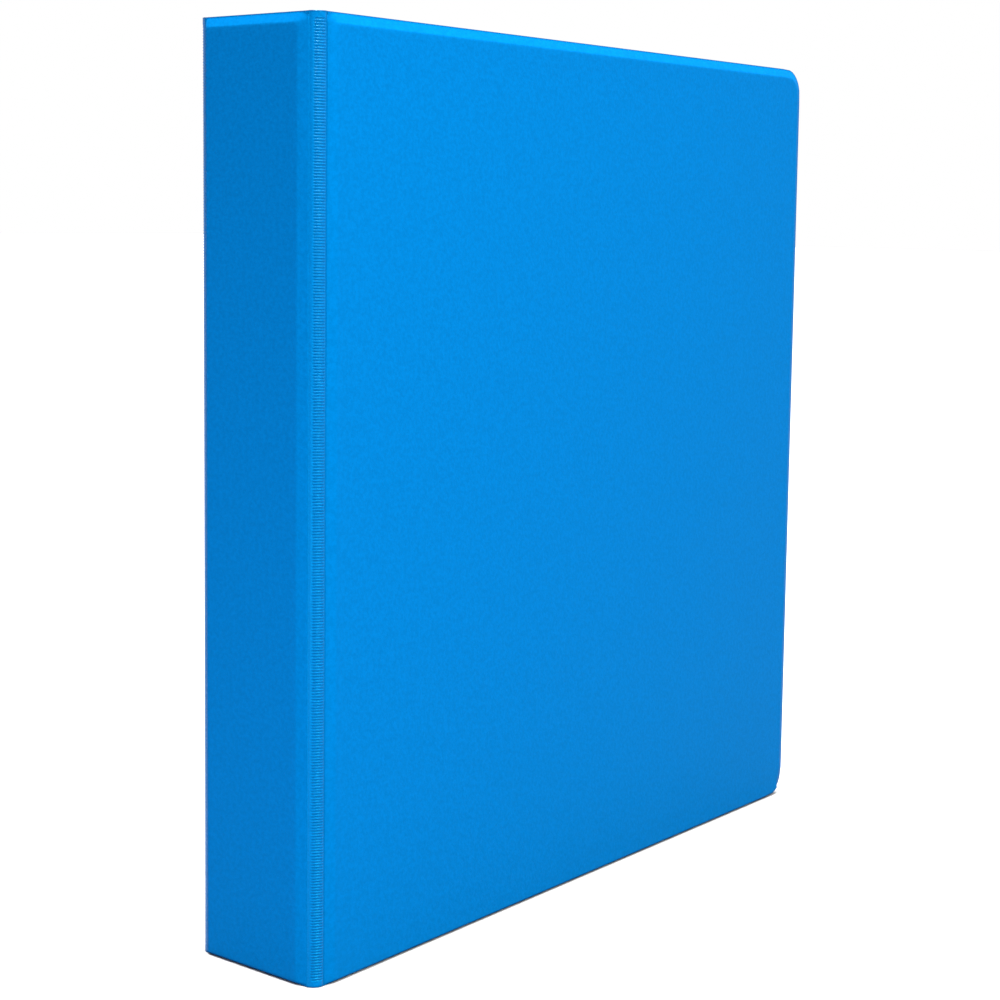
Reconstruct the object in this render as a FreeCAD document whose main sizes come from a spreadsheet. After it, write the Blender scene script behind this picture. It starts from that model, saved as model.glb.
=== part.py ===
import FreeCAD, Part
import math
import os
import re

import Sketcher

# A three-ring binder with a vinyl case, standing upright on its bottom edge.
# Millimetres. +Z is up, the spine's outer face looks along -X, the front cover's along -Y
# and the back cover's along +Y. The origin is at the middle of the foot.
#
# The case is three chipboard panels sealed between an outer vinyl sheet and a liner. Each
# panel is built about its own middle plane, where the two sheets are welded together.
# The ring metal is riveted to the back cover, so it has a frame of its own, used by all of
# its parts: X is u, from the spine towards the pages; Y is w, up from the back liner; Z is
# s, down the length of the ring metal from its middle.

SIZES = (
    # the case
    ("case_height", 295.0),
    ("case_width", 275.7),
    ("case_depth", 53.3),
    ("corner_round", 10.0),
    ("half_board", 1.1),
    ("sheet", 0.35),
    ("weld_width", 1.4),
    ("hinge_weld", 0.3),
    ("slope_room", 0.8),
    ("board_room", 0.15),
    ("roof_room", 0.05),
    ("cover_margin", 3.2),
    ("spine_margin", 4.0),
    ("spine_strip", 3.0),
    ("cover_strip", 3.6),
    ("spine_hinge_margin", 3.75),
    ("cover_hinge_margin", 3.55),
    # the inside pockets
    ("pocket_sheet", 0.25),
    ("pocket_height", 150.0),
    ("pocket_gap", 1.0),
    ("pocket_round", 5.0),
    ("pocket_from_metal", 18.45),
    # the ring metal: a spring steel housing over two hinged blades
    ("metal_from_spine", 30.0),
    ("housing_half_length", 131.0),
    ("housing_half_width", 12.3),
    ("housing_height", 8.0),
    ("housing_sheet", 0.8),
    ("housing_foot", 0.2),
    ("crown_flat", 4.5),
    ("crown_radius", 16.0),
    ("crown_angle", 17.5),
    ("lip_inside", 9.4),
    ("lip_height", 3.4),
    ("pivot_out", 10.8),
    ("pivot_height", 4.6),
    ("blade_gap", 0.12),
    ("blade_sheet", 1.0),
    ("blade_half_length", 123.8),
    ("closed_tilt", 8.0),
    # the rings
    ("ring_pitch", 107.95),
    ("wire_radius", 1.5),
    ("leg_out", 8.0),
    ("leg_foot", 4.96),
    ("tenon_radius", 1.0),
    ("tenon_bottom", 3.5),
    ("ring_top", 36.0),
    ("ring_split", 1.0),
    ("split_gap", 0.03),
    ("post_bend", 6.0),
    ("bow_radius", 12.5),
    ("bow_centre", 1.5),
    ("foot_bend", 6.0),
    ("nib_radius", 0.75),
    ("nib_length", 1.0),
    ("socket_room", 0.2),
    ("slot_inside", 5.9),
    ("slot_outside", 11.2),
    ("slot_half", 2.0),
    # the rivets that hold the ring metal
    ("rivet_pitch", 152.0),
    ("rivet_radius", 2.5),
    ("rivet_head", 1.2),
    ("rivet_head_radius", 5.6),
    ("rivet_top", 0.9),
    ("rivet_top_radius", 3.9),
    ("post_radius", 3.8),
    ("hole_room", 0.1),
    ("notch_radius", 5.0),
    # the opening levers
    ("lever_at", 128.0),
    ("pin_radius", 1.0),
    ("pin_room", 0.05),
    ("pin_hole_room", 0.025),
    ("pin_half_length", 12.6),
    ("barrel_radius", 2.4),
    ("handle_sink", 0.3),
    ("lever_half_width", 6.2),
    ("lever_sheet", 1.3),
    ("thumb_round", 3.6),
    ("handle_angle", 58.0),
    ("handle_length", 14.0),
    ("grip_angle", 24.0),
    ("grip_length", 6.5),
    ("fork_half_width", 3.0),
    ("fork_angle", 16.0),
    ("fork_reach", 6.6),
    ("fork_open", 1.5),
    ("fork_lip", 0.8),
    ("lever_notch_half", 7.0),
    ("lever_notch", 11.0),
)

doc = FreeCAD.newDocument("ring_binder")
sheet = doc.addObject("Spreadsheet::Sheet", "Sizes")
for row, (alias, number) in enumerate(SIZES, start=1):
    sheet.set(f"A{row}", alias)
    sheet.set(f"B{row}", str(number))
    sheet.setAlias(f"B{row}", alias)
doc.recompute()
ALIAS = re.compile(r"\b(" + "|".join(alias for alias, number in SIZES) + r")\b")

# Depths of the cuts that go right through the ring metal and through a cover.
METAL_CUT = "4 * housing_height"
CASE_CUT = "6 * half_board"

# Places that several parts share, as expressions of the sheet.
HALF_PANEL = "(half_board + sheet)"
FRONT_MIDDLE = f"(-(case_depth + rivet_head) / 2 + {HALF_PANEL})"
BACK_MIDDLE = f"({FRONT_MIDDLE} + case_depth - 2 * {HALF_PANEL})"
SPINE_MIDDLE = f"(-case_width / 2 + {HALF_PANEL})"
FREE_EDGE = "(case_width / 2)"
COVER_START = f"({SPINE_MIDDLE} + cover_strip)"
CROWN_TOP = "(housing_height - housing_sheet)"


def formula(text):
    """An expression in the sheet's aliases, as FreeCAD reads it."""
    return ALIAS.sub(r"Sizes.\1", text)


def value(text):
    """The number that an expression comes to."""
    return float(sheet.evalExpression(formula(text)))


def bind(thing, prop, text):
    """Ties a property of an object to an expression of the sheet."""
    thing.setExpression(prop, formula(text))


def body(name):
    """A part of the case, in the binder's own frame."""
    made = doc.addObject("PartDesign::Body", name)
    made.Label = name
    return made


def metal_body(name):
    """A part of the ring metal, in the frame of the ring metal."""
    made = body(name)
    half_turn = FreeCAD.Rotation(FreeCAD.Vector(1, 0, 0), 180)
    made.Placement = FreeCAD.Placement(FreeCAD.Vector(), half_turn)
    bind(made, "Placement.Base.x", "-case_width / 2 + metal_from_spine")
    bind(made, "Placement.Base.y", f"{BACK_MIDDLE} - {HALF_PANEL}")
    bind(made, "Placement.Base.z", "case_height / 2")
    return made


def sketch_on(owner, name, plane, offset="0"):
    """A sketch on one of the body's origin planes, moved along the plane's normal."""
    made = owner.newObject("Sketcher::SketchObject", f"{owner.Name}_{name}")
    origin_plane = next(f for f in owner.Origin.OriginFeatures if f.Role == plane)
    made.AttachmentSupport = (origin_plane, "")
    made.MapMode = "FlatFace"
    bind(made, "AttachmentOffset.Base.z", offset)
    return made


def arc_between(start, end, radius, turn):
    """The short arc from start to end; turn is 1 anticlockwise and -1 clockwise."""
    chord = end - start
    middle = (start + end) / 2
    height = math.sqrt(radius**2 - (chord.Length / 2) ** 2)
    across = FreeCAD.Vector(-chord.y, chord.x, 0).normalize()
    centre = middle + across * height * turn
    low, high = (start, end) if turn > 0 else (end, start)
    first = math.atan2(low.y - centre.y, low.x - centre.x)
    last = math.atan2(high.y - centre.y, high.x - centre.x)
    circle = Part.Circle(centre, FreeCAD.Vector(0, 0, 1), radius)
    return Part.ArcOfCircle(circle, first, last)


def draw(sketch, corners, arcs=None, closed=True):
    """Lines and arcs through the corners, each corner held by two named dimensions.
    arcs gives, for the edge that leaves a corner, its radius and its turn."""
    arcs = arcs or {}
    points = [FreeCAD.Vector(value(x), value(y), 0) for x, y in corners]
    count = len(corners)
    edges = count if closed else count - 1
    ends = []
    for i in range(edges):
        start, end = points[i], points[(i + 1) % count]
        if i in arcs:
            radius, turn = arcs[i]
            edge = sketch.addGeometry(arc_between(start, end, value(radius), turn))
            ends.append((edge, 1, 2) if turn > 0 else (edge, 2, 1))
        else:
            edge = sketch.addGeometry(Part.LineSegment(start, end))
            ends.append((edge, 1, 2))
    for i in range(edges if closed else edges - 1):
        edge, near, far = ends[i]
        following, start, end = ends[(i + 1) % edges]
        sketch.addConstraint(Sketcher.Constraint("Coincident", edge, far, following, start))
    for i, (x, y) in enumerate(corners):
        edge, near, far = ends[min(i, edges - 1)]
        point = near if i < edges else far
        hold(sketch, "DistanceX", (-1, 1, edge, point), points[i].x, f"x{i}", x)
        hold(sketch, "DistanceY", (-1, 1, edge, point), points[i].y, f"y{i}", y)
    for i, (radius, turn) in arcs.items():
        hold(sketch, "Radius", (ends[i][0],), value(radius), f"radius{i}", radius)
    return sketch


def hold(sketch, kind, where, number, name, text):
    """A named dimension of the sketch, tied to the sheet."""
    index = sketch.addConstraint(Sketcher.Constraint(kind, *where, number))
    sketch.renameConstraint(index, name)
    bind(sketch, f"Constraints.{name}", text)


def circle(sketch, centre, radius, tag=""):
    """A circle held by its centre and its radius."""
    x, y = centre
    middle = FreeCAD.Vector(value(x), value(y), 0)
    edge = sketch.addGeometry(Part.Circle(middle, FreeCAD.Vector(0, 0, 1), value(radius)))
    hold(sketch, "DistanceX", (-1, 1, edge, 3), middle.x, f"x_centre{tag}", x)
    hold(sketch, "DistanceY", (-1, 1, edge, 3), middle.y, f"y_centre{tag}", y)
    hold(sketch, "Radius", (edge,), value(radius), f"round{tag}", radius)
    return sketch


def rectangle(low, high, bottom, top):
    """The corners of a rectangle, anticlockwise from its low corner."""
    return [(low, bottom), (high, bottom), (high, top), (low, top)]


def pad(owner, name, sketch, length, both=False, reverse=False):
    """Material raised from a sketch; both raises half of it on each side."""
    made = owner.newObject("PartDesign::Pad", f"{owner.Name}_{name}")
    made.Profile = sketch
    bind(made, "Length", length)
    made.Midplane = both
    made.Reversed = reverse
    doc.recompute()
    return made


def pocket(owner, name, sketch, depth, both=False, reverse=False):
    """Material cut away under a sketch. A cut that removes nothing is a mistake."""
    before = owner.Shape.Volume
    made = owner.newObject("PartDesign::Pocket", f"{owner.Name}_{name}")
    made.Profile = sketch
    bind(made, "Length", depth)
    made.Midplane = both
    made.Reversed = reverse
    doc.recompute()
    if owner.Shape.Volume > before - 1e-3:
        raise RuntimeError(f"{made.Name} cuts nothing")
    return made


def loft(owner, name, kind, first, last):
    """A straight-sided loft between two sketches."""
    made = owner.newObject(f"PartDesign::{kind}", f"{owner.Name}_{name}")
    made.Profile = first
    made.Sections = [last]
    made.Ruled = True
    doc.recompute()
    return made


# ---------------------------------------------------------------- the case


class Panel:
    """One of the three stiff panels: where it lies, and how far its board is set in."""

    def __init__(self, name, plane, middle, outward, edges, margins, rounded):
        self.name = name
        self.plane = plane
        self.middle = middle
        self.outward = outward
        self.low, self.high = edges
        self.margin, self.low_margin, self.high_margin = margins
        self.rounded = rounded

    def at(self, distance):
        """The sketch offset that lies this far outward of the middle plane."""
        return f"{self.middle} + ({self.outward}) * ({distance})"

    def outline(self, part, name, distance, inset, low_inset, high_inset):
        """The panel's outline, set in from its edges, at a distance from the middle."""
        sketch = sketch_on(part, name, self.plane, self.at(distance))
        low = f"{self.low} + {low_inset}"
        high = f"{self.high} - ({high_inset})"
        bottom, top = inset, f"case_height - ({inset})"
        if not self.rounded:
            return draw(sketch, rectangle(low, high, bottom, top))
        bend = f"(corner_round - ({inset}))"
        corners = [
            (low, bottom),
            (f"{high} - {bend}", bottom),
            (high, f"{bottom} + {bend}"),
            (high, f"{top} - {bend}"),
            (f"{high} - {bend}", top),
            (low, top),
        ]
        return draw(sketch, corners, {1: (bend, 1), 3: (bend, 1)})

    def board_outline(self, part, name, distance, room):
        """The outline of the board, with some room."""
        return self.outline(
            part,
            name,
            distance,
            f"{self.margin} + {room}",
            f"{self.low_margin} + {room}",
            f"{self.high_margin} + {room}",
        )

    def weld_outline(self, part, name, distance, room):
        """The inner edge of the weld, where the sheet leaves the middle plane."""
        high_weld = "weld_width" if self.rounded else "hinge_weld"
        return self.outline(
            part,
            name,
            distance,
            f"weld_width + {room}",
            f"hinge_weld + {room}",
            f"{high_weld} + {room}",
        )


# On an XZ sketch the normal is -Y, so a plane at y has the offset -y.
FRONT = Panel(
    "front",
    "XZ_Plane",
    f"-{FRONT_MIDDLE}",
    "1",
    (COVER_START, FREE_EDGE),
    ("cover_margin", "cover_hinge_margin", "cover_margin"),
    True,
)
BACK = Panel(
    "back",
    "XZ_Plane",
    f"-{BACK_MIDDLE}",
    "-1",
    (COVER_START, FREE_EDGE),
    ("cover_margin", "cover_hinge_margin", "cover_margin"),
    True,
)
SPINE = Panel(
    "spine",
    "YZ_Plane",
    SPINE_MIDDLE,
    "-1",
    (f"({FRONT_MIDDLE} + spine_strip)", f"({BACK_MIDDLE} - spine_strip)"),
    ("spine_margin", "spine_hinge_margin", "spine_hinge_margin"),
    False,
)


def board(panel):
    """The chipboard stiffener."""
    part = body(f"{panel.name}_board")
    sketch = panel.board_outline(part, "outline", "0", "board_room")
    pad(part, "pad", sketch, "2 * half_board", both=True)
    return part


def vinyl(panel, name, side):
    """One of the two vinyl sheets: flat over the board, sloping down to the welded rim.
    side is 1 for the outer sheet and -1 for the liner."""
    part = body(name)
    inward = (side > 0) != (panel.outward == "1")
    rim = panel.outline(part, "rim", "0", "0", "0", "0")
    pad(part, "rim_pad", rim, "sheet", reverse=inward)
    foot = panel.weld_outline(part, "foot", "0", "0")
    top = panel.board_outline(part, "top", f"{side} * {HALF_PANEL}", "0")
    loft(part, "pillow", "AdditiveLoft", foot, top)
    hollow = panel.weld_outline(part, "hollow", "0", "slope_room")
    roof = panel.board_outline(part, "roof", f"{side} * half_board", "roof_room")
    loft(part, "cavity", "SubtractiveLoft", hollow, roof)
    return part


def rivet_holes(part, depth):
    """The two holes of the back cover, where the rivets of the ring metal pass."""
    sketch = sketch_on(part, "rivet_holes", "XZ_Plane", f"-{BACK_MIDDLE}")
    across = "-case_width / 2 + metal_from_spine"
    for tag, sign in (("_low", "-"), ("_high", "+")):
        height = f"case_height / 2 {sign} rivet_pitch / 2"
        circle(sketch, (across, height), "rivet_radius + hole_room", tag)
    pocket(part, "rivet_pocket", sketch, depth, both=True)


def pocket_sheet(panel, low):
    """The inside pocket: a vinyl sheet over the lower half of the liner, open at its top."""
    part = body(f"{panel.name}_pocket")
    sketch = sketch_on(part, "outline", panel.plane, panel.at(f"-{HALF_PANEL}"))
    bottom = "cover_margin + pocket_gap"
    high = f"{FREE_EDGE} - cover_margin - pocket_gap"
    corners = [
        (low, bottom),
        (f"{high} - pocket_round", bottom),
        (high, f"{bottom} + pocket_round"),
        (high, "pocket_height"),
        (low, "pocket_height"),
    ]
    draw(sketch, corners, {1: ("pocket_round", 1)})
    pad(part, "pad", sketch, "pocket_sheet", reverse=panel.outward == "1")
    return part


def hinge_strip(name, middle, sign):
    """The living hinge at a corner of the case: both sheets fused into one strip, which
    leaves the spine's rim, turns the corner and meets the cover's rim."""
    part = body(name)
    sketch = sketch_on(part, "section", "XY_Plane")

    def place(along, across):
        return f"{SPINE_MIDDLE} + {along}", f"{middle} + ({sign}) * ({across})"

    corners = [
        place("(-sheet)", "spine_strip"),
        place("spine_strip", "-sheet"),
        place("cover_strip", "-sheet"),
        place("cover_strip", "sheet"),
        place("spine_strip", "sheet"),
        place("sheet", "spine_strip"),
    ]
    turn = 1 if sign == "1" else -1
    arcs = {0: ("spine_strip + sheet", turn), 4: ("spine_strip - sheet", -turn)}
    draw(sketch, corners, arcs)
    pad(part, "pad", sketch, "case_height")
    return part


# ---------------------------------------------------------------- the ring metal


def housing():
    """The arched spring steel channel. Its side walls are folded in and up at the foot,
    as lips that keep the outer edges of the blades in place."""
    part = metal_body("ring_metal_housing")
    shoulder_u = "(crown_flat + crown_radius * sin(crown_angle))"
    shoulder_w = "(housing_height - crown_radius * (1 - cos(crown_angle)))"
    bend = f"((housing_half_width - {shoulder_u}) / (1 - sin(crown_angle)))"
    wall_top = f"({shoulder_w} - {bend} * cos(crown_angle))"
    inside_u = f"({shoulder_u} - housing_sheet * sin(crown_angle))"
    inside_w = f"({shoulder_w} - housing_sheet * cos(crown_angle))"
    wall_inside = "(housing_half_width - housing_sheet)"
    floor_top = "(housing_foot + housing_sheet)"
    half = [
        ("crown_flat", "housing_height"),
        (shoulder_u, shoulder_w),
        ("housing_half_width", wall_top),
        ("housing_half_width", "housing_foot"),
        ("lip_inside", "housing_foot"),
        ("lip_inside", "lip_height"),
        ("lip_inside + housing_sheet", "lip_height"),
        ("lip_inside + housing_sheet", floor_top),
        (wall_inside, floor_top),
        (wall_inside, wall_top),
        (inside_u, inside_w),
        ("crown_flat", CROWN_TOP),
    ]
    other = [(f"-{u}" if u[0] == "(" else f"-({u})", w) for u, w in reversed(half)]
    arcs = {
        0: ("crown_radius", -1),
        1: (bend, -1),
        9: (f"{bend} - housing_sheet", 1),
        10: ("crown_radius - housing_sheet", 1),
        12: ("crown_radius - housing_sheet", 1),
        13: (f"{bend} - housing_sheet", 1),
        21: (bend, -1),
        22: ("crown_radius", -1),
    }
    section = sketch_on(part, "section", "XY_Plane")
    draw(section, half + other, arcs)
    pad(part, "channel", section, "2 * housing_half_length", both=True)

    slots = sketch_on(part, "leg_slots", "XZ_Plane")
    for ring in (-1, 0, 1):
        middle = f"{ring} * ring_pitch"
        for low, high in (
            ("slot_inside", "slot_outside"),
            ("-slot_outside", "-slot_inside"),
        ):
            add_slot(slots, low, high, f"{middle} - slot_half", f"{middle} + slot_half")
    pocket(part, "leg_slot_cut", slots, METAL_CUT, both=True)

    notches = sketch_on(part, "lever_notches", "XZ_Plane", f"-{floor_top}")
    for end in ("-1", "1"):
        near = f"{end} * (housing_half_length - lever_notch)"
        far = f"{end} * (housing_half_length + housing_sheet)"
        low, high = (near, far) if end == "1" else (far, near)
        add_slot(notches, "-lever_notch_half", "lever_notch_half", low, high)
    pocket(part, "lever_notch_cut", notches, "housing_height")

    rivets = sketch_on(part, "rivet_holes", "XZ_Plane", f"-{floor_top}")
    for tag, sign in (("_low", "-"), ("_high", "")):
        radius = "rivet_radius + hole_room"
        circle(rivets, ("0", f"{sign}rivet_pitch / 2"), radius, tag)
    pocket(part, "rivet_cut", rivets, "housing_height")

    pins = sketch_on(part, "pin_holes", "YZ_Plane")
    for tag, sign in (("_low", "-"), ("_high", "")):
        radius = "pin_radius + pin_hole_room"
        circle(pins, ("pivot_height", f"{sign}lever_at"), radius, tag)
    pocket(part, "pin_cut", pins, "3 * housing_half_width", both=True)
    return part


def add_slot(sketch, low, high, bottom, top):
    """One more rectangle in a sketch that already holds some."""
    corners = rectangle(low, high, bottom, top)
    points = [FreeCAD.Vector(value(x), value(y), 0) for x, y in corners]
    first = sketch.GeometryCount
    for i in range(4):
        sketch.addGeometry(Part.LineSegment(points[i], points[(i + 1) % 4]))
    for i in range(4):
        following = first + (i + 1) % 4
        sketch.addConstraint(Sketcher.Constraint("Coincident", first + i, 2, following, 1))
    for i, (x, y) in enumerate(corners):
        name = f"{first + i}"
        where = (-1, 1, first + i, 1)
        hold(sketch, "DistanceX", where, points[i].x, f"x{name}", x)
        hold(sketch, "DistanceY", where, points[i].y, f"y{name}", y)


def blade(name, side):
    """A hinged blade. It turns about its outer edge, inside the housing's lips; closed,
    its inner edge lies low. side is 1 towards the pages and -1 towards the spine."""
    part = metal_body(name)
    rise = "sin(closed_tilt)"
    run = "cos(closed_tilt)"
    width = "(pivot_out - blade_gap)"

    def place(along, across):
        """along runs in from the pivot and across runs up, square to the blade."""
        u = f"{side} * (pivot_out - ({along}) * {run} + ({across}) * {rise})"
        w = f"pivot_height - ({along}) * {rise} - ({across}) * {run}"
        return u, w

    section = sketch_on(part, "section", "XY_Plane")
    half = "blade_sheet / 2"
    corners = [
        place("0", half),
        place(width, half),
        place(width, f"-({half})"),
        place("0", f"-({half})"),
    ]
    draw(section, corners)
    pad(part, "plate", section, "2 * blade_half_length", both=True)

    notches = sketch_on(part, "rivet_notches", "XZ_Plane")
    for tag, sign in (("_low", "-"), ("_high", "")):
        circle(notches, ("0", f"{sign}rivet_pitch / 2"), "notch_radius", tag)
    pocket(part, "rivet_cut", notches, METAL_CUT, both=True)

    tenons = sketch_on(part, "tenon_holes", "XZ_Plane")
    for ring in (-1, 0, 1):
        centre = (f"{side} * leg_out", f"{ring} * ring_pitch")
        circle(tenons, centre, "tenon_radius + pin_room / 2", f"_{ring + 1}")
    pocket(part, "tenon_cut", tenons, METAL_CUT, both=True)
    return part


def ring_wire(part, middle, side, corners, arcs):
    """A ring half: round wire swept along its path from the foot, with a thinner tenon
    that passes through the blade."""
    path = sketch_on(part, "path", "XY_Plane", middle)
    draw(path, corners, arcs, closed=False)
    section = sketch_on(part, "section", "XZ_Plane", "-leg_foot")
    circle(section, (f"{side} * leg_out", middle), "wire_radius")
    doc.recompute()
    wire = part.newObject("PartDesign::AdditivePipe", f"{part.Name}_wire")
    wire.Profile = section
    wire.Spine = path
    doc.recompute()
    tenon = sketch_on(part, "tenon", "XZ_Plane", "-leg_foot")
    circle(tenon, (f"{side} * leg_out", middle), "tenon_radius")
    pad(part, "tenon_pad", tenon, "leg_foot - tenon_bottom")


def page_side_ring(name, middle):
    """The straight post of the D and its short bend over to the split, with a nib that
    finds the other half's socket."""
    part = metal_body(name)
    tip = "ring_split + split_gap"
    corners = [
        ("leg_out", "leg_foot"),
        ("leg_out", "ring_top - post_bend"),
        ("leg_out - post_bend", "ring_top"),
        (tip, "ring_top"),
    ]
    ring_wire(part, middle, "1", corners, {1: ("post_bend", 1)})
    nib = sketch_on(part, "nib", "YZ_Plane", tip)
    circle(nib, ("ring_top", middle), "nib_radius")
    pad(part, "nib_pad", nib, "nib_length", reverse=True)
    return part


def spine_side_ring(name, middle):
    """The bowed side of the D: up through the housing, out, and round to the split."""
    part = metal_body(name)
    bow_w = "(ring_top - bow_radius)"
    reach = "(bow_radius + foot_bend)"
    offset = "(leg_out + foot_bend - bow_centre)"
    bend_w = f"({bow_w} - sqrt({reach} * {reach} - {offset} * {offset}))"
    share = "(foot_bend / (bow_radius + foot_bend))"
    meet_u = f"-(leg_out + foot_bend) + {share} * {offset}"
    meet_w = f"{bend_w} + {share} * ({bow_w} - {bend_w})"
    tip = "ring_split - split_gap"
    corners = [
        ("-leg_out", "leg_foot"),
        ("-leg_out", bend_w),
        (meet_u, meet_w),
        ("-bow_centre", "ring_top"),
        (tip, "ring_top"),
    ]
    ring_wire(part, middle, "-1", corners, {1: ("foot_bend", 1), 2: ("bow_radius", -1)})
    socket = sketch_on(part, "socket", "YZ_Plane", tip)
    circle(socket, ("ring_top", middle), "nib_radius + socket_room")
    pocket(part, "socket_cut", socket, "nib_length + socket_room")
    return part


def revolved(part, middle, corners, arcs=None):
    """A turned piece about the w axis, from its half section."""
    section = sketch_on(part, "section", "XY_Plane", middle)
    draw(section, corners, arcs)
    made = part.newObject("PartDesign::Revolution", f"{part.Name}_turning")
    made.Profile = section
    made.ReferenceAxis = (section, ["V_Axis"])
    made.Angle = 360
    doc.recompute()
    return part


def rivet(name, middle):
    """A rivet: domed head on the outside of the back cover, shank through the case and
    the ring metal, and a peened end on the housing."""
    part = metal_body(name)
    under = f"-2 * {HALF_PANEL}"
    head_bend = "((rivet_head_radius ^ 2 + rivet_head ^ 2) / (2 * rivet_head))"
    top_bend = "((rivet_top_radius ^ 2 + rivet_top ^ 2) / (2 * rivet_top))"
    corners = [
        ("0", f"{under} - rivet_head"),
        ("rivet_head_radius", under),
        ("rivet_radius", under),
        ("rivet_radius", "housing_height"),
        ("rivet_top_radius", "housing_height"),
        ("0", "housing_height + rivet_top"),
    ]
    return revolved(part, middle, corners, {0: (head_bend, 1), 4: (top_bend, 1)})


def rivet_post(name, middle):
    """The tube that keeps the housing off the cover around a rivet."""
    part = metal_body(name)
    inner = "rivet_radius + hole_room"
    corners = rectangle(inner, "post_radius", "0", CROWN_TOP)
    return revolved(part, middle, corners)


def lever(name, end):
    """An opening lever: a barrel on its pin, a handle with a turned-out grip, and a fork
    that holds the ends of both blades. end is 1 at the foot and -1 at the head."""
    part = metal_body(name)

    def place(out, up):
        """A place in the lever's side view, as w and s."""
        return f"pivot_height + {up}", f"({end}) * (lever_at + {out})"

    def plate(start, angle, length, other_angle, other_length):
        """The corners of the bent handle, one sheet thick."""
        near, far = [], []
        for sign, side in (("-", near), ("+", far)):
            shift = f"({sign}lever_sheet / 2)"
            out0 = f"{start} * cos({angle}) - {shift} * sin({angle})"
            up0 = f"{start} * sin({angle}) + {shift} * cos({angle})"
            mid = f"(({angle} + {other_angle}) / 2)"
            mitre = f"({shift} / cos(({angle} - {other_angle}) / 2))"
            out1 = f"{length} * cos({angle}) - {mitre} * sin{mid}"
            up1 = f"{length} * sin({angle}) + {mitre} * cos{mid}"
            end_out = f"{length} * cos({angle}) + {other_length} * cos({other_angle})"
            end_up = f"{length} * sin({angle}) + {other_length} * sin({other_angle})"
            out2 = f"{end_out} - {shift} * sin({other_angle})"
            up2 = f"{end_up} + {shift} * cos({other_angle})"
            side += [place(out0, up0), place(out1, up1), place(out2, up2)]
        return near + far[::-1]

    barrel = sketch_on(part, "barrel", "YZ_Plane")
    circle(barrel, place("0", "0"), "barrel_radius")
    pad(part, "barrel_pad", barrel, "2 * lever_half_width", both=True)

    handle = sketch_on(part, "handle", "YZ_Plane")
    start = "(pin_radius + lever_sheet / 2)"
    bent = plate(start, "handle_angle", "handle_length", "grip_angle", "grip_length")
    draw(handle, bent)
    pad(part, "handle_pad", handle, "2 * lever_half_width", both=True)

    fork = sketch_on(part, "fork", "YZ_Plane")
    outer = "(fork_open + fork_lip)"
    root = "(barrel_radius - handle_sink)"

    def prong(inward, up):
        """A place in the fork's own frame, which points in and down from the pin."""
        return place(
            f"(-({inward}) * cos(fork_angle) - ({up}) * sin(fork_angle))",
            f"(-({inward}) * sin(fork_angle) + ({up}) * cos(fork_angle))",
        )

    corners = [
        prong("0", outer),
        prong("fork_reach", outer),
        prong("fork_reach", "fork_open"),
        prong(root, "fork_open"),
        prong(root, "-fork_open"),
        prong("fork_reach", "-fork_open"),
        prong("fork_reach", f"-{outer}"),
        prong("0", f"-{outer}"),
    ]
    draw(fork, corners)
    pad(part, "fork_pad", fork, "2 * fork_half_width", both=True)

    bore = sketch_on(part, "bore", "YZ_Plane")
    circle(bore, place("0", "0"), "pin_radius + pin_room")
    pocket(part, "bore_cut", bore, "4 * lever_half_width", both=True)

    thumb_corners(part)
    return part


def thumb_corners(part):
    """Rounds the two corners of the grip, which are the highest edges as long as the
    lever's sheet is thick."""
    lever_so_far = part.Tip
    edges = list(enumerate(lever_so_far.Shape.Edges, start=1))
    side = value("lever_half_width")
    thickness = value("lever_sheet")
    corners = [
        (edge.CenterOfMass.y, f"Edge{i}")
        for i, edge in edges
        if abs(abs(edge.CenterOfMass.x) - side) < 1e-3
        and abs(edge.Length - thickness) < 1e-3
    ]
    made = part.newObject("PartDesign::Fillet", f"{part.Name}_thumb")
    made.Base = (lever_so_far, [name for height, name in sorted(corners)[-2:]])
    bind(made, "Radius", "thumb_round")
    doc.recompute()


def lever_pin(name, end):
    """The pin that a lever turns on, from wall to wall of the housing."""
    part = metal_body(name)
    sketch = sketch_on(part, "section", "YZ_Plane")
    circle(sketch, ("pivot_height", f"({end}) * lever_at"), "pin_radius")
    pad(part, "pad", sketch, "2 * pin_half_length", both=True)
    return part


# ---------------------------------------------------------------- the assembly


def build_case():
    """The panels, their sheets, the hinges and the pockets."""
    parts = []
    for panel in (SPINE, FRONT, BACK):
        outer = vinyl(panel, f"{panel.name}_outer_vinyl", 1)
        liner = vinyl(panel, f"{panel.name}_liner", -1)
        stiffener = board(panel)
        if panel is BACK:
            for part in (outer, liner, stiffener):
                rivet_holes(part, CASE_CUT)
        parts += [outer, liner, stiffener]
    parts.append(hinge_strip("front_hinge_strip", FRONT_MIDDLE, "1"))
    parts.append(hinge_strip("back_hinge_strip", BACK_MIDDLE, "-1"))
    front_low = f"{COVER_START} + cover_hinge_margin + pocket_gap"
    back_low = "-case_width / 2 + metal_from_spine + pocket_from_metal"
    parts.append(pocket_sheet(FRONT, front_low))
    parts.append(pocket_sheet(BACK, back_low))
    return parts


def build_ring_metal():
    """The housing, the blades, the rings, the rivets and the levers."""
    parts = [housing()]
    parts.append(blade("page_side_blade", "1"))
    parts.append(blade("spine_side_blade", "-1"))
    for place, ring in (("top", "-1"), ("middle", "0"), ("bottom", "1")):
        middle = f"{ring} * ring_pitch"
        parts.append(page_side_ring(f"{place}_ring_post", middle))
        parts.append(spine_side_ring(f"{place}_ring_bow", middle))
    for place, end in (("top", "-1"), ("bottom", "1")):
        middle = f"{end} * rivet_pitch / 2"
        parts.append(rivet(f"{place}_rivet", middle))
        parts.append(rivet_post(f"{place}_rivet_post", middle))
        parts.append(lever(f"{place}_lever", end))
        parts.append(lever_pin(f"{place}_lever_pin", end))
    return parts


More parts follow.
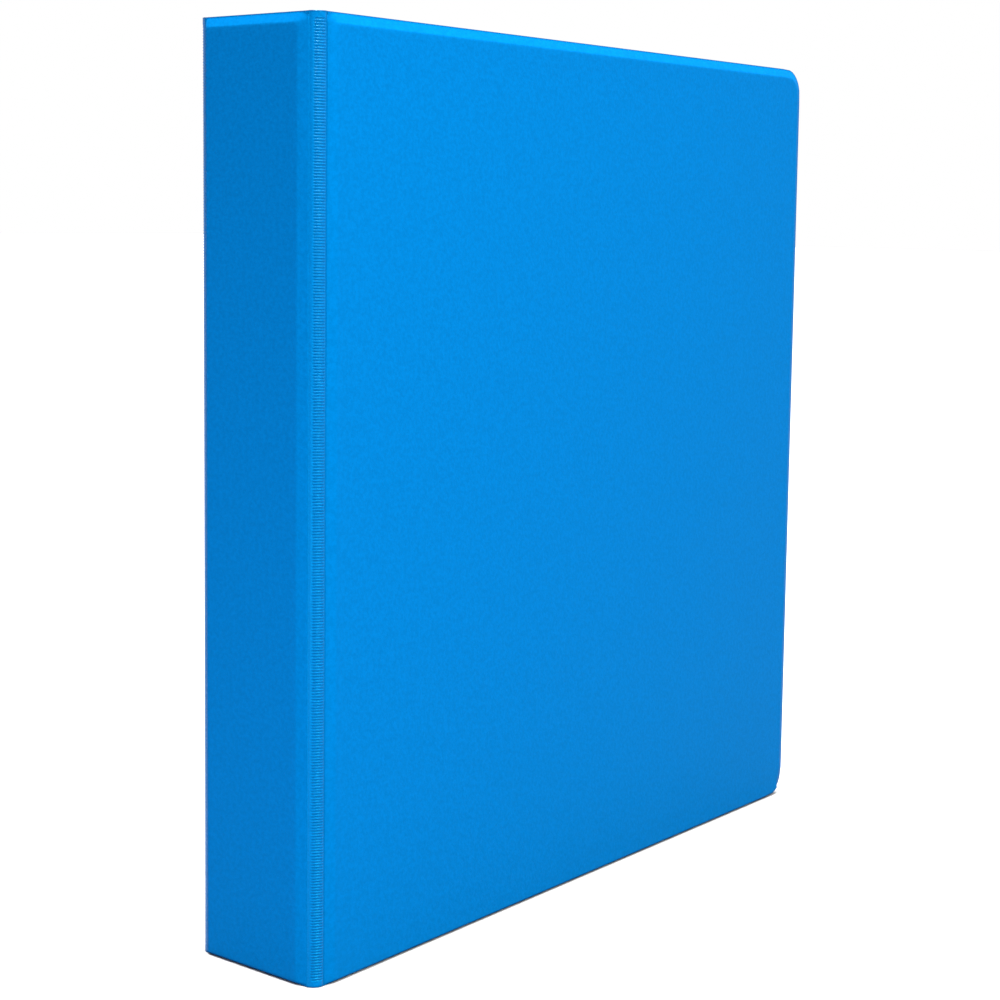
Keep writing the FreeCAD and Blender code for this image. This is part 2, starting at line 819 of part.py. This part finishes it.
def check(parts):
    """Stops if an object failed to compute, or a part isn't one sound solid."""
    for thing in doc.Objects:
        if "Invalid" in thing.State or "Error" in thing.State:
            raise RuntimeError(f"{thing.Name} failed: {thing.State}")
    for part in parts:
        shape = part.Shape
        if shape.isNull() or not shape.isValid() or len(shape.Solids) != 1:
            raise RuntimeError(f"{part.Label} isn't one valid solid")


def export(parts):
    """Writes each part's solid to its own file."""
    os.makedirs("parts", exist_ok=True)
    for part in parts:
        part.Shape.exportStep(f"parts/{part.Label}.step")


all_parts = build_case() + build_ring_metal()
doc.recompute()
check(all_parts)
export(all_parts)
whole = Part.makeCompound([part.Shape for part in all_parts]).BoundBox
print(f"{len(all_parts)} parts, {whole}")
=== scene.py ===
import math

import bpy
from mathutils import Matrix, Vector, noise


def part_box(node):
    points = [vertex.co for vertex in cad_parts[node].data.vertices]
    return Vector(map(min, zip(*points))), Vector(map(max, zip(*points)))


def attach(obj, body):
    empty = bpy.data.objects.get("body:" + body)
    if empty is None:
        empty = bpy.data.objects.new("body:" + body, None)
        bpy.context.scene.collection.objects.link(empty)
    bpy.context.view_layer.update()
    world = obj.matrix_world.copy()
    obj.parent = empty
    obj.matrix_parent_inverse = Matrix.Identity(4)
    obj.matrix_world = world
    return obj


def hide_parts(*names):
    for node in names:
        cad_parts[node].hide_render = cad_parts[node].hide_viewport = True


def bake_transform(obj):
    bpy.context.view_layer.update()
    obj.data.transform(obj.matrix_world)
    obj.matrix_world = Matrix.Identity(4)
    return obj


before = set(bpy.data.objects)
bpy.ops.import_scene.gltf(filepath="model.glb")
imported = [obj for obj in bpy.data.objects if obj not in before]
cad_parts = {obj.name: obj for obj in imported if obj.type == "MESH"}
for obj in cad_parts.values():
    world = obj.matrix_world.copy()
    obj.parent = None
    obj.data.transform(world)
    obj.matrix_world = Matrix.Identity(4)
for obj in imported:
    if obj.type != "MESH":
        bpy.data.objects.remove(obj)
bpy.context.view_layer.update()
MM = 0.001

# The vinyl: one sheet's thickness, the flat rims at a free edge and at a hinge, the bead along a free
# edge and how far in from it the painted shade reaches.
SHEET = 0.35 * MM
RIM = 0.4 * MM
HINGE_RIM = 0.1 * MM
BEAD = 0.16 * MM
EDGE_SHADE_REACH = 0.45 * MM
CORNER_ROUND = 10.0 * MM
SLACK = 0.05 * MM
INNER_SHARE = 0.985

# The part of a slope's room that the sheet takes: it is tight at the foot of every panel
# and at the spine's far side, and slacker at the top.
FOOT_SLOPE = 0.15
FAR_SLOPE = 0.4
TOP_SLOPE = 0.75

# The ribbed strip of a living hinge.
RIB_PITCH = 0.885 * MM
RIB_DEPTH = 0.30 * MM
RIB_LOW, RIB_HIGH = 1.22 * MM, 4.95 * MM
RIB_MARGIN = 1.2 * MM
RIB_ARCH = 1.6 * MM
RIB_SIDE_EASE = 0.25 * MM
RIB_END_EASE = 0.4 * MM
# Painted shade in the hollows between the ribs and in the groove beside them.
RIB_HOLLOW_SHADE, GROOVE_SHADE = 0.3, 0.5
RIB_STEPS = 6
STRIP_COLUMNS = 24
STRIP_LEAN = math.radians(10)
STRIP_END_SHADE_REACH = 0.6 * MM
GROOVE_OFFSET = 0.15 * MM
GROOVE_WIDTH = 0.16 * MM
GROOVE_DEPTH = 0.12 * MM

# The inside pockets.
POCKET_WELD = 1.0 * MM
POCKET_ROUND = 5.0 * MM
POCKET_LIFT = 0.35 * MM


# ---------------------------------------------------------------- materials


class Nodes:
    """A material's node tree, with short ways to add and join nodes."""

    def __init__(self, name):
        self.material = bpy.data.materials.new(name)
        self.material.use_nodes = True
        self.tree = self.material.node_tree
        self.shader = self.tree.nodes["Principled BSDF"]
        place = self.tree.nodes.new("ShaderNodeTexCoord")
        self.place = place.outputs["Object"]

    def add(self, kind, **inputs):
        node = self.tree.nodes.new(kind)
        for name, value in inputs.items():
            socket = node.inputs[name.replace("_", " ")]
            if isinstance(value, bpy.types.NodeSocket):
                self.tree.links.new(value, socket)
            else:
                socket.default_value = value
        return node

    def stretched(self, scale):
        """The place, stretched along each axis."""
        return self.add("ShaderNodeMapping", Vector=self.place, Scale=scale).outputs[0]

    def noise(self, scale, detail=3.0, rough=0.55, place=None):
        place = place or self.place
        made = self.add(
            "ShaderNodeTexNoise", Vector=place, Scale=scale, Detail=detail, Roughness=rough
        )
        return made.outputs["Fac"]

    def ramp(self, fac, low, high, start=0.0, end=1.0):
        """A colour that goes from low to high as fac goes from start to end."""
        made = self.add("ShaderNodeValToRGB", Fac=fac)
        first, last = made.color_ramp.elements
        first.position, first.color = start, (*low, 1)
        last.position, last.color = end, (*high, 1)
        return made.outputs["Color"]

    def between(self, fac, low, high, start=0.0, end=1.0):
        """A number that goes from low to high as fac goes from start to end."""
        made = self.add("ShaderNodeMapRange", Value=fac)
        for name, value in zip(("From Min", "From Max", "To Min", "To Max"), (start, end, low, high)):
            made.inputs[name].default_value = value
        return made.outputs["Result"]

    def bump(self, height, strength, distance, under=None):
        made = self.add("ShaderNodeBump", Height=height, Strength=strength, Distance=distance)
        if under:
            self.tree.links.new(under, made.inputs["Normal"])
        return made.outputs["Normal"]

    def wear(self, **inputs):
        """Sets or joins the shader's own inputs."""
        for name, value in inputs.items():
            socket = self.shader.inputs[name.replace("_", " ")]
            if isinstance(value, bpy.types.NodeSocket):
                self.tree.links.new(value, socket)
            else:
                socket.default_value = value
        return self.material


SHEEN = (0.02, 0.62, 1.0, 1)


def vinyl(name, colour, grain, gloss, rough):
    """Calendered vinyl: a soft random grain, slightly uneven in tone and in sheen, and painted shade,
    a dark navy, along the sheets' free edges and in the hinge's pressed hollows and groove, read from
    a point attribute."""
    n = Nodes(name)
    fine = n.noise(grain, detail=4.0)
    mottle = n.noise(grain * 0.3, detail=3.0)
    mixed = n.add("ShaderNodeMath", Value=fine)
    mixed.operation = "ADD"
    n.tree.links.new(n.between(mottle, -0.3, 0.3, 0.3, 0.7), mixed.inputs[1])
    dark = tuple(c * 0.93 for c in colour)
    light = tuple(min(1.0, c * 1.07) for c in colour)
    tint = n.ramp(mixed.outputs[0], dark, light, 0.25, 0.75)
    # Painted shade from a point attribute: it mixes the tone towards a dark navy along the free edges
    # and in the hinge's hollows and groove.
    painted_shade = n.add("ShaderNodeAttribute")
    painted_shade.attribute_name = "painted_shade"
    mix = n.add("ShaderNodeMix", Factor=painted_shade.outputs["Fac"])
    mix.data_type = "RGBA"
    whole, painted_shade_colour, mixed_colour = mix.inputs[6], mix.inputs[7], mix.outputs[2]
    n.tree.links.new(tint, whole)
    painted_shade_colour.default_value = (0.0, colour[1] * 0.25, colour[2] * 0.30, 1)
    cells = n.add("ShaderNodeTexVoronoi", Vector=n.place, Scale=grain * 0.45)
    leather = n.bump(cells.outputs["Distance"], 0.25, 0.00010)
    normal = n.bump(fine, 0.22, 0.00008, leather)
    return n.wear(
        Base_Color=mixed_colour,
        Roughness=n.between(fine, rough - 0.06, rough + 0.08, 0.3, 0.7),
        Specular_IOR_Level=gloss,
        Specular_Tint=SHEEN,
        Normal=normal,
    )


def chipboard():
    """Grey recycled board, with fibres and flecks."""
    n = Nodes("chipboard")
    fibres = n.noise(900.0, detail=5.0, place=n.stretched((1.0, 1.0, 0.25)))
    tint = n.ramp(fibres, (0.20, 0.17, 0.14), (0.42, 0.38, 0.32), 0.3, 0.7)
    return n.wear(
        Base_Color=tint,
        Roughness=n.between(fibres, 0.85, 0.95),
        Normal=n.bump(fibres, 0.3, 0.0001),
    )


def plated(name, colour, rough, along=(1.0, 1.0, 1.0)):
    """Nickel plate over drawn or rolled steel: faint lines, uneven polish, fine pits."""
    n = Nodes(name)
    lines = n.noise(1600.0, detail=3.0, place=n.stretched(along))
    clouds = n.noise(60.0, detail=4.0)
    pits = n.noise(5200.0, detail=2.0)
    dull = tuple(c * 0.86 for c in colour)
    tint = n.ramp(clouds, dull, colour, 0.35, 0.65)
    polish = n.add("ShaderNodeMath", Value=n.between(lines, -0.05, 0.06, 0.3, 0.7))
    polish.operation = "ADD"
    n.tree.links.new(n.between(clouds, rough + 0.05, rough, 0.35, 0.65), polish.inputs[1])
    normal = n.bump(pits, 0.05, 0.00002, n.bump(lines, 0.08, 0.00003))
    return n.wear(
        Base_Color=tint, Metallic=1.0, Roughness=polish.outputs[0], Normal=normal
    )


BLUE = (0.0, 0.072, 0.235)
OUTER = vinyl("outer_vinyl", BLUE, 2300.0, 0.01, 0.50)
LINER = vinyl("liner_vinyl", (0.0, 0.070, 0.228), 1500.0, 0.06, 0.50)
WELDED = vinyl("welded_vinyl", BLUE, 3200.0, 0.20, 0.24)
POCKET = vinyl("pocket_vinyl", (0.0, 0.073, 0.236), 1200.0, 0.15, 0.42)
BOARD = chipboard()
PLATE = plated("nickel_plate", (0.60, 0.60, 0.60), 0.24, (1.0, 1.0, 0.04))
WIRE = plated("nickel_wire", (0.66, 0.66, 0.66), 0.14, (0.3, 0.3, 1.0))
RIVET = plated("nickel_rivet", (0.62, 0.62, 0.62), 0.20)
STEEL = plated("spring_steel", (0.50, 0.51, 0.52), 0.34, (1.0, 1.0, 0.03))


# ---------------------------------------------------------------- meshes


def piece(name, points, faces, material):
    """A smooth mesh piece with a material."""
    mesh = bpy.data.meshes.new(name)
    mesh.from_pydata([Vector(p) for p in points], [], faces)
    mesh.validate()
    mesh.materials.append(material)
    for face in mesh.polygons:
        face.use_smooth = True
    made = bpy.data.objects.new(name, mesh)
    bpy.context.scene.collection.objects.link(made)
    return made


def grid_faces(columns, rows, flip, first=0):
    """Quads over a grid of points stored row by row."""
    faces = []
    for j in range(rows - 1):
        for i in range(columns - 1):
            a = first + j * columns + i
            quad = (a, a + 1, a + columns + 1, a + columns)
            faces.append(quad[::-1] if flip else quad)
    return faces


def smooth(t):
    t = min(1.0, max(0.0, t))
    return t * t * (3 - 2 * t)


def taut(t, soft=0.07):
    """Straight from 0 to 1, with a short bend at each end."""
    if t > 0.5:
        return 1 - taut(1 - t, soft)
    if t < -soft:
        return 0.0
    return (t + soft) ** 2 / (4 * soft) if t < soft else t


def paint(obj, name, values):
    """A number on every point, for the material to read."""
    attribute = obj.data.attributes.new(name, "FLOAT", "POINT")
    attribute.data.foreach_set("value", values)


def stations(low, high, low_rim, low_slope, high_rim, high_slope):
    """Places across a panel: close together on its rims and slopes, wide on its field."""
    def side(rim, slope):
        made = [0.0, 0.05 * MM, BEAD]
        made += [BEAD + (rim - BEAD) * k / 4 for k in range(1, 5)]
        made += [rim + slope * k / 12 for k in range(1, 13)]
        made += [rim + slope + reach * MM for reach in (0.5, 1.2, 2.5, 4.5)]
        return made

    lows = [low + d for d in side(low_rim, low_slope)]
    highs = [high - d for d in side(high_rim, high_slope)][::-1]
    span = highs[0] - lows[-1]
    count = max(2, round(span / (5.0 * MM)))
    return lows + [lows[-1] + span * k / count for k in range(1, count)] + highs


class Sheet:
    """One vinyl sheet of a panel. a runs across it and b up it; the sheet lies flat over
    the board and comes down in a soft curve to the welded rim all round."""

    def __init__(self, name, node, board, across, middle, outward, rounded):
        self.name, self.node, self.across = name, node, across
        self.middle, self.outward, self.rounded = middle, outward, rounded
        lo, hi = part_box(node)
        board_lo, board_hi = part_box(board)
        self.a0, self.a1 = lo[across], hi[across]
        self.b0, self.b1 = lo[2], hi[2]
        self.high = max(abs(lo[1 - across] - middle), abs(hi[1 - across] - middle))
        self.rims = (HINGE_RIM, RIM if rounded else HINGE_RIM, RIM, RIM)
        margins = (
            board_lo[across] - self.a0,
            self.a1 - board_hi[across],
            board_lo[2] - self.b0,
            self.b1 - board_hi[2],
        )
        far, top = (1.0, 1.0) if rounded else (FAR_SLOPE, TOP_SLOPE)
        shares = (1.0, far, FOOT_SLOPE, top)
        self.slopes = tuple((m - r) * s for m, r, s in zip(margins, self.rims, shares))

    def rise(self, a, b):
        """The sheet's height over the middle plane, from 0 at the rim to 1 on the field.
        Two slopes that meet at a square corner run into each other softly."""
        round_off = 0.35
        reach = []
        for d, rim, slope in zip(
            (a - self.a0, self.a1 - a, b - self.b0, self.b1 - b), self.rims, self.slopes
        ):
            reach.append(max(0.0, (rim + slope * (1 + round_off) - d) / slope))
        across, up = max(reach[:2]), max(reach[2:])
        out = (across ** 3 + up ** 3) ** (1 / 3)
        if self.rounded and reach[1] > 0:
            out = max(across, up)
        return taut(1 - (out - round_off))

    def edge(self, a, b):
        """How far a point is from the trimmed edge of the sheet. The hinge sides have none."""
        near = min(b - self.b0, self.b1 - b)
        return min(near, self.a1 - a) if self.rounded else near

    def bent(self, a, b, radius=CORNER_ROUND):
        """Rounds the outline's two free corners."""
        if not self.rounded:
            return a, b
        over_a = a - (self.a1 - radius)
        low = b - (self.b0 + radius)
        high = b - (self.b1 - radius)
        over_b = low if low < 0 else max(0.0, high)
        if over_a <= 0 or over_b == 0:
            return a, b
        edge = max(over_a, abs(over_b))
        scale = edge / math.hypot(over_a, over_b)
        corner = self.b0 + radius if over_b < 0 else self.b1 - radius
        return self.a1 - radius + over_a * scale, corner + over_b * scale

    def point(self, a, b, height):
        """The place of a point at this height on the sheet's own side."""
        made = [0.0, 0.0, b]
        made[self.across] = a
        made[1 - self.across] = self.middle + self.outward * height
        return made

    def build(self, material, body):
        columns = stations(
            self.a0, self.a1, self.rims[0], self.slopes[0], self.rims[1], self.slopes[1]
        )
        rows = stations(
            self.b0, self.b1, self.rims[2], self.slopes[2], self.rims[3], self.slopes[3]
        )
        outer = []
        painted_shade = []
        for b in rows:
            for a in columns:
                edge = self.edge(a, b)
                bead = SHEET * math.sqrt(max(0.0, 1 - (1 - min(1, edge / BEAD)) ** 2))
                share = self.rise(a, b)
                height = bead + (self.high - SHEET) * share
                seed = Vector((a * 25, b * 25, self.middle * 90 + self.outward))
                height -= SLACK * share * (0.5 + 0.5 * noise.noise(seed))
                x, y = self.bent(a, b)
                outer.append(self.point(x, y, height))
                # Painted shade: dark along the sheet's free edges, fading out inwards.
                painted_shade.append(1 - smooth(edge / EDGE_SHADE_REACH))
        width, tall = len(columns), len(rows)
        flip = (self.outward > 0) == (self.across == 0)
        flip = not flip if self.across == 1 else flip
        faces = grid_faces(width, tall, flip)
        count = len(outer)
        inner = []
        for b in rows:
            for a in columns:
                x, y = self.bent(a, b)
                height = (self.high - SHEET) * self.rise(a, b) * INNER_SHARE
                inner.append(self.point(x, y, height))
        faces += grid_faces(width, tall, not flip, count)
        faces += walls(width, tall, flip)
        made = piece(self.name, outer + inner, faces, material)
        paint(made, "painted_shade", painted_shade + painted_shade)
        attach(made, body)
        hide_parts(self.node)
        return made


def walls(width, tall, flip):
    """The quads that join the outer grid's edges to the inner one's."""
    count = width * tall

    def wall(a, b):
        quad = (a, b, b + count, a + count)
        return quad[::-1] if flip else quad

    faces = []
    for j in range(tall - 1):
        low, high = j * width, (j + 1) * width
        faces.append(wall(low, high))
        faces.append(wall(high + width - 1, low + width - 1))
    top = (tall - 1) * width
    for i in range(width - 1):
        faces.append(wall(i + 1, i))
        faces.append(wall(top + i, top + i + 1))
    return faces


def middle_of(node, across):
    """The middle plane of a panel, from its board."""
    lo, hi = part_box(node)
    return (lo[1 - across] + hi[1 - across]) / 2


def build_sheets():
    for body, across, out, rounded in (
        ("spine", 1, -1, False),
        ("front_cover", 0, -1, True),
        ("back_cover", 0, 1, True),
    ):
        panel = body.replace("_cover", "")
        board = f"{panel}_board"
        middle = middle_of(board, across)
        outer = Sheet(
            f"{panel}_vinyl", f"{panel}_outer_vinyl", board, across, middle, out, rounded
        )
        outer.build(OUTER, body)
        inner = Sheet(
            f"{panel}_lining", f"{panel}_liner", board, across, middle, -out, rounded
        )
        inner.build(LINER, body)


# ---------------------------------------------------------------- the living hinges


class Strip:
    """The section of a living hinge: from the spine round the corner to the cover. It is
    an arc a little flatter than a quarter circle, and then a short straight run."""

    def __init__(self, node, front):
        lo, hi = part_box(node)
        self.low, self.high = lo.z, hi.z
        self.side = 1 if front else -1
        self.corner_x = lo.x + SHEET
        self.corner_y = lo.y + SHEET if front else hi.y - SHEET
        self.bend = hi.y - self.corner_y if front else self.corner_y - lo.y
        self.turn = self.bend * math.pi / 2
        self.cover_reach = hi.x - self.corner_x
        self.length = self.turn + self.cover_reach - self.bend
        self.radius = self.bend / (math.cos(STRIP_LEAN) - math.sin(STRIP_LEAN))
        self.centre = self.radius * math.cos(STRIP_LEAN)

    def place(self, s, height):
        """A point of the section, s along its middle from the spine."""
        if s < self.turn:
            angle = STRIP_LEAN + (math.pi / 2 - 2 * STRIP_LEAN) * s / self.turn
            out = angle if s > 0 else 0.0
            x = self.centre - self.radius * math.cos(angle) - height * math.cos(out)
            y = self.centre - self.radius * math.sin(angle) - height * math.sin(out)
        else:
            x = self.bend + s - self.turn
            y = -height
        return self.corner_x + x, self.corner_y + self.side * y


def rib(s, along, length):
    """How far the strip is pressed in and how much painted shade lies in it, deepest in the hollows
    between the ribs and in the groove, s across it and along the row of ribs, which has this length."""
    centre, half = (RIB_LOW + RIB_HIGH) / 2, (RIB_HIGH - RIB_LOW) / 2
    offset = (s - centre) / half
    inside = smooth(half * (1 - abs(offset)) / RIB_SIDE_EASE)
    arch = RIB_ARCH * (1 - math.sqrt(max(0.0, 1 - min(1, abs(offset)) ** 2)))
    inside *= smooth((min(along, length - along) - arch) / RIB_END_EASE)
    wave = 0.5 - 0.5 * math.cos(2 * math.pi * along / RIB_PITCH)
    groove = math.exp(-((s - RIB_HIGH - GROOVE_OFFSET) / GROOVE_WIDTH) ** 2)
    pressed = inside * (RIB_DEPTH * (1 - wave ** 0.8)) + GROOVE_DEPTH * groove
    # Painted shade, darkest in the hollows between the ribs and in the groove.
    return pressed, min(1.0, RIB_HOLLOW_SHADE * inside * (1 - wave) + GROOVE_SHADE * groove)


def hinge(node, cover):
    """The ribbed strip at a corner: the two sheets fused, with a row of crosswise ribs
    pressed into the outside, and a smooth border all round them."""
    front = cover == "front_cover"
    strip = Strip(node, front)
    low, high = strip.low, strip.high
    columns = [strip.length * k / STRIP_COLUMNS for k in range(STRIP_COLUMNS + 1)]
    ribs = int((high - low - 2 * RIB_MARGIN) / RIB_PITCH)
    ribbed = ribs * RIB_PITCH
    first = (low + high - ribbed) / 2
    border = (0.0, 0.3 * MM, 0.7 * MM)
    rows = [low + d for d in border]
    rows += [first + RIB_PITCH * k / RIB_STEPS for k in range(ribs * RIB_STEPS + 1)]
    rows += [high - d for d in reversed(border)]
    points = []
    painted_shade = []
    for z in rows:
        # Painted shade along the strip's top and bottom edges.
        end = 1 - smooth(min(z - low, high - z) / STRIP_END_SHADE_REACH)
        for s in columns:
            pressed, dark = rib(s, z - first, ribbed)
            points.append((*strip.place(s, SHEET - pressed), z))
            painted_shade.append(max(end, dark))
    width, tall = len(columns), len(rows)
    faces = grid_faces(width, tall, not front)
    count = len(points)
    for z in (low, high):
        for s in columns:
            points.append((*strip.place(s, -SHEET), z))
    faces += grid_faces(width, 2, front, count)
    top = (tall - 1) * width
    for i in range(width - 1):
        bottom = (i + 1, i, count + i, count + i + 1)
        upper = (top + i, top + i + 1, count + width + i + 1, count + width + i)
        faces += [bottom, upper] if front else [bottom[::-1], upper[::-1]]
    for i, j in ((0, count), (width - 1, count + width - 1)):
        ring = [i + k * width for k in range(tall)] + [j + width, j]
        faces.append(ring if (i == 0) != front else ring[::-1])
    made = piece(f"{cover}_hinge", points, faces, WELDED)
    paint(made, "painted_shade", painted_shade + [0.0] * (2 * width))
    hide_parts(node)
    end = (strip.corner_x + strip.cover_reach, strip.corner_y, 0)
    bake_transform(made)


# ---------------------------------------------------------------- the pockets


def inside_pocket(node, body, side):
    """A pocket of thin vinyl, welded to the liner at its foot and sides, and standing a
    little off it at its open top."""
    lo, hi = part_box(node)
    base = hi.y if side < 0 else lo.y
    thick = hi.y - lo.y
    backing = thick * 0.7
    columns = stations(lo.x, hi.x, POCKET_WELD, POCKET_WELD, POCKET_WELD, POCKET_WELD)
    rows = stations(lo.z, hi.z, POCKET_WELD, POCKET_WELD, 0.5 * MM, 0.3 * MM)
    outer, inner = [], []
    for b in rows:
        for a in columns:
            edge = min(a - lo.x, hi.x - a, b - lo.z)
            open_up = smooth((b - lo.z) / (hi.z - lo.z))
            belly = math.sin(math.pi * (a - lo.x) / (hi.x - lo.x)) ** 0.7
            seed = Vector((a * 18, b * 18, base * 60))
            lift = POCKET_LIFT * open_up * belly * (1 + 0.6 * noise.noise(seed))
            loose = smooth((edge - POCKET_WELD / 2) / (1.2 * POCKET_WELD))
            height = thick * (0.72 + 0.28 * loose) + lift * loose
            x, z = a, b
            over_a, over_b = a - (hi.x - POCKET_ROUND), (lo.z + POCKET_ROUND) - b
            if over_a > 0 and over_b > 0:
                scale = max(over_a, over_b) / math.hypot(over_a, over_b)
                x = hi.x - POCKET_ROUND + over_a * scale
                z = lo.z + POCKET_ROUND - over_b * scale
            outer.append((x, base + side * height, z))
            inner.append((x, base + side * (height - backing), z))
    width, tall = len(columns), len(rows)
    flip = side > 0
    faces = grid_faces(width, tall, flip)
    faces += grid_faces(width, tall, not flip, len(outer))
    faces += walls(width, tall, flip)
    made = piece(f"{node}_sheet", outer + inner, faces, POCKET)
    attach(made, body)
    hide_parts(node)
    return made


# ---------------------------------------------------------------- the metal and boards


def finish_cad_nodes():
    """Gives the nodes whose CAD shape stays their materials."""
    kinds = (
        ("board", BOARD),
        ("housing", PLATE),
        ("blade", STEEL),
        ("ring_post", WIRE),
        ("ring_bow", WIRE),
        ("rivet_post", STEEL),
        ("rivet", RIVET),
        ("lever_pin", STEEL),
        ("lever", PLATE),
    )
    for name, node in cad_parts.items():
        for ending, material in kinds:
            if name.endswith(ending):
                node.data.materials.clear()
                node.data.materials.append(material)
                break


# ---------------------------------------------------------------- the studio


def studio():
    """A white room with a matt floor, three soft lights and a broad light from above."""
    matt_floor()
    black_card(azimuth=math.radians(148), away=1.3, half=0.8, low=0.2, high=1.5)
    world = bpy.data.worlds.new("studio")
    world.use_nodes = True
    background = world.node_tree.nodes["Background"]
    background.inputs["Color"].default_value = (1.0, 1.0, 1.0, 1)
    background.inputs["Strength"].default_value = 1.0
    bpy.context.scene.world = world
    bpy.context.scene.view_settings.view_transform = "Standard"

    area("key", (-0.36, -0.79, 0.75), (-0.05, 0.0, 0.2), 0.5, 22.0, (1.0, 1.0, 0.78))
    area("fill", (-0.42, -0.12, 0.03), (-0.14, 0.0, 0.05), 0.2, 0.8, (1.0, 1.0, 1.0))
    area("overhead", (0.0, 0.0, 1.9), (0.0, 0.0, 0.2), 1.6, 60.0, (1.0, 1.0, 0.8))
    sky(20.0, math.radians(30), (1.0, 1.0, 0.88))


def matt_floor(far=12.0):
    """The floor. Its grey comes out white under the light from above."""
    grey = Nodes("floor").wear(
        Base_Color=(0.20, 0.20, 0.235, 1), Roughness=0.9, Specular_IOR_Level=0.0
    )
    staged("floor", [(-far, -far, 0), (far, -far, 0), (far, far, 0), (-far, far, 0)], grey)


def black_card(azimuth, away, half, low, high):
    """An upright card beside the spine, which keeps the white room's light off it."""
    black = Nodes("black_card").wear(
        Base_Color=(0.01, 0.01, 0.01, 1), Roughness=1.0, Specular_IOR_Level=0.0
    )
    middle = Vector((math.cos(azimuth), math.sin(azimuth), 0)) * away
    side = Vector((-middle.y, middle.x, 0)).normalized() * half
    foot, head = Vector((0, 0, low)), Vector((0, 0, high))
    corners = [middle - side + foot, middle + side + foot, middle + side + head, middle - side + head]
    card = staged("black_card", corners, black)
    card.visible_camera = False


def staged(name, corners, material):
    """A flat piece of the studio."""
    mesh = bpy.data.meshes.new(name)
    mesh.from_pydata(corners, [], [(0, 1, 2, 3)])
    mesh.materials.append(material)
    made = bpy.data.objects.new(name, mesh)
    bpy.context.scene.collection.objects.link(made)
    return made


def area(name, place, target, size, power, colour):
    """A soft square light."""
    data = bpy.data.lights.new(name, "AREA")
    data.size = size
    data.energy = power
    data.color = colour
    made = bpy.data.objects.new(name, data)
    made.location = place
    aim = Vector(target) - Vector(place)
    made.rotation_euler = aim.to_track_quat("-Z", "Y").to_euler()
    made.visible_camera = False
    bpy.context.scene.collection.objects.link(made)


def sky(power, angle, colour):
    """A broad light straight from above, the same over the whole floor."""
    data = bpy.data.lights.new("sky", "SUN")
    data.energy = power
    data.angle = angle
    data.color = colour
    bpy.context.scene.collection.objects.link(bpy.data.objects.new("sky", data))


def camera():
    """A camera in front of the corner of the spine and the front cover."""
    data = bpy.data.cameras.new("camera")
    data.lens = 70.97
    data.sensor_width = 36.0
    data.shift_x = -0.0437
    data.shift_y = -0.0858
    made = bpy.data.objects.new("camera", data)
    heading = math.radians(52.294)
    pitch = math.radians(-5.885)
    roll = math.radians(0.865)
    turn = (
        Matrix.Rotation(-heading, 4, "Z")
        @ Matrix.Rotation(math.pi / 2 + pitch, 4, "X")
        @ Matrix.Rotation(roll, 4, "Z")
    )
    made.matrix_world = Matrix.Translation((-0.5552, -0.4348, 0.2378)) @ turn
    bpy.context.scene.collection.objects.link(made)
    bpy.context.scene.camera = made


build_sheets()
hinge("front_hinge_strip", "front_cover")
hinge("back_hinge_strip", "back_cover")
inside_pocket("front_pocket", "front_cover", 1)
inside_pocket("back_pocket", "back_cover", -1)
finish_cad_nodes()
studio()
camera()
